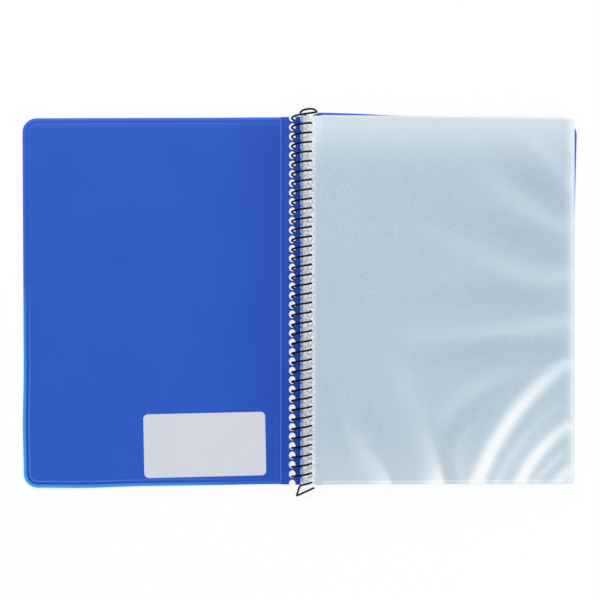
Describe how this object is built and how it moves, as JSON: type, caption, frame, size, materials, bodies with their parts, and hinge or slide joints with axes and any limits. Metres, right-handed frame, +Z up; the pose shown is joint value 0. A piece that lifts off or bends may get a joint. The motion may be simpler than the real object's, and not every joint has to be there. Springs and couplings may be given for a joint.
{
  "type": "marching band folder",
  "caption": "Spiral-bound music folder lying open: stiff blue welded covers and a stack of clear top-loading pockets that turn on a black wire coil.",
  "frame": {"origin": "centre of the open folder, on the surface that it lies on", "axes": "+X from the coil towards the pockets, +Y towards the pockets' open tops, +Z up"},
  "size_m": [0.295, 0.2068, 0.012],
  "materials": {
    "vinyl_blue": "satin blue vinyl, welded round the rim",
    "board_grey": "plain grey board",
    "film_clear": "clear matt film",
    "film_strip": "welded and punched film",
    "wire_black": "black plastic-coated wire",
    "label_white": "white self-adhesive paper"
  },
  "bodies": {
    "binding": {"spiral_coil": "wire_black", "back_cover_skin": "vinyl_blue", "back_cover_board": "board_grey", "back_cover_lining": "vinyl_blue", "back_cover_binding_strip": "vinyl_blue"},
    "front_cover": {"front_cover_skin": "vinyl_blue", "front_cover_board": "board_grey", "front_cover_lining": "vinyl_blue", "front_cover_binding_strip": "vinyl_blue", "label": "label_white"},
    "pocket_01": {"pocket_01_front_film": "film_clear", "pocket_01_rear_film": "film_clear", "pocket_01_binding_strip": "film_strip"},
    "pocket_02": {"pocket_02_front_film": "film_clear", "pocket_02_rear_film": "film_clear", "pocket_02_binding_strip": "film_strip"},
    "pocket_03": {"pocket_03_front_film": "film_clear", "pocket_03_rear_film": "film_clear", "pocket_03_binding_strip": "film_strip"},
    "pocket_04": {"pocket_04_front_film": "film_clear", "pocket_04_rear_film": "film_clear", "pocket_04_binding_strip": "film_strip"},
    "pocket_05": {"pocket_05_front_film": "film_clear", "pocket_05_rear_film": "film_clear", "pocket_05_binding_strip": "film_strip"},
    "sheaf_06_10": {"pocket_06": "film_clear", "pocket_07": "film_clear", "pocket_08": "film_clear", "pocket_09": "film_clear", "pocket_10": "film_clear", "sheaf_06_10_binding_strip": "film_strip"},
    "sheaf_11_15": {"pocket_11": "film_clear", "pocket_12": "film_clear", "pocket_13": "film_clear", "pocket_14": "film_clear", "pocket_15": "film_clear", "sheaf_11_15_binding_strip": "film_strip"},
    "sheaf_16_20": {"pocket_16": "film_clear", "pocket_17": "film_clear", "pocket_18": "film_clear", "pocket_19": "film_clear", "pocket_20": "film_clear", "sheaf_16_20_binding_strip": "film_strip"},
    "sheaf_21_25": {"pocket_21": "film_clear", "pocket_22": "film_clear", "pocket_23": "film_clear", "pocket_24": "film_clear", "pocket_25": "film_clear", "sheaf_21_25_binding_strip": "film_strip"}
  },
  "joints": [
    {"name": "front_cover_turn", "type": "hinge", "parent": "binding", "child": "front_cover", "pos_m": [0, 0.00097, 0.00605], "axis": [0, -1, 0], "range_deg": [-180, 0]},
    {"name": "pocket_01_turn", "type": "hinge", "parent": "pocket_02", "child": "pocket_01", "pos_m": [0, 0.00097, 0.00605], "axis": [0, -1, 0], "range_deg": [0, 180]},
    {"name": "pocket_02_turn", "type": "hinge", "parent": "pocket_03", "child": "pocket_02", "pos_m": [0, 0.00097, 0.00605], "axis": [0, -1, 0], "range_deg": [0, 180]},
    {"name": "pocket_03_turn", "type": "hinge", "parent": "pocket_04", "child": "pocket_03", "pos_m": [0, 0.00097, 0.00605], "axis": [0, -1, 0], "range_deg": [0, 180]},
    {"name": "pocket_04_turn", "type": "hinge", "parent": "pocket_05", "child": "pocket_04", "pos_m": [0, 0.00097, 0.00605], "axis": [0, -1, 0], "range_deg": [0, 180]},
    {"name": "pocket_05_turn", "type": "hinge", "parent": "sheaf_06_10", "child": "pocket_05", "pos_m": [0, 0.00097, 0.00605], "axis": [0, -1, 0], "range_deg": [0, 180]},
    {"name": "sheaf_06_10_turn", "type": "hinge", "parent": "sheaf_11_15", "child": "sheaf_06_10", "pos_m": [0, 0.00097, 0.00605], "axis": [0, -1, 0], "range_deg": [0, 180]},
    {"name": "sheaf_11_15_turn", "type": "hinge", "parent": "sheaf_16_20", "child": "sheaf_11_15", "pos_m": [0, 0.00097, 0.00605], "axis": [0, -1, 0], "range_deg": [0, 180]},
    {"name": "sheaf_16_20_turn", "type": "hinge", "parent": "sheaf_21_25", "child": "sheaf_16_20", "pos_m": [0, 0.00097, 0.00605], "axis": [0, -1, 0], "range_deg": [0, 180]},
    {"name": "sheaf_21_25_turn", "type": "hinge", "parent": "binding", "child": "sheaf_21_25", "pos_m": [0, 0.00097, 0.00605], "axis": [0, -1, 0], "range_deg": [0, 180]}
  ]
}
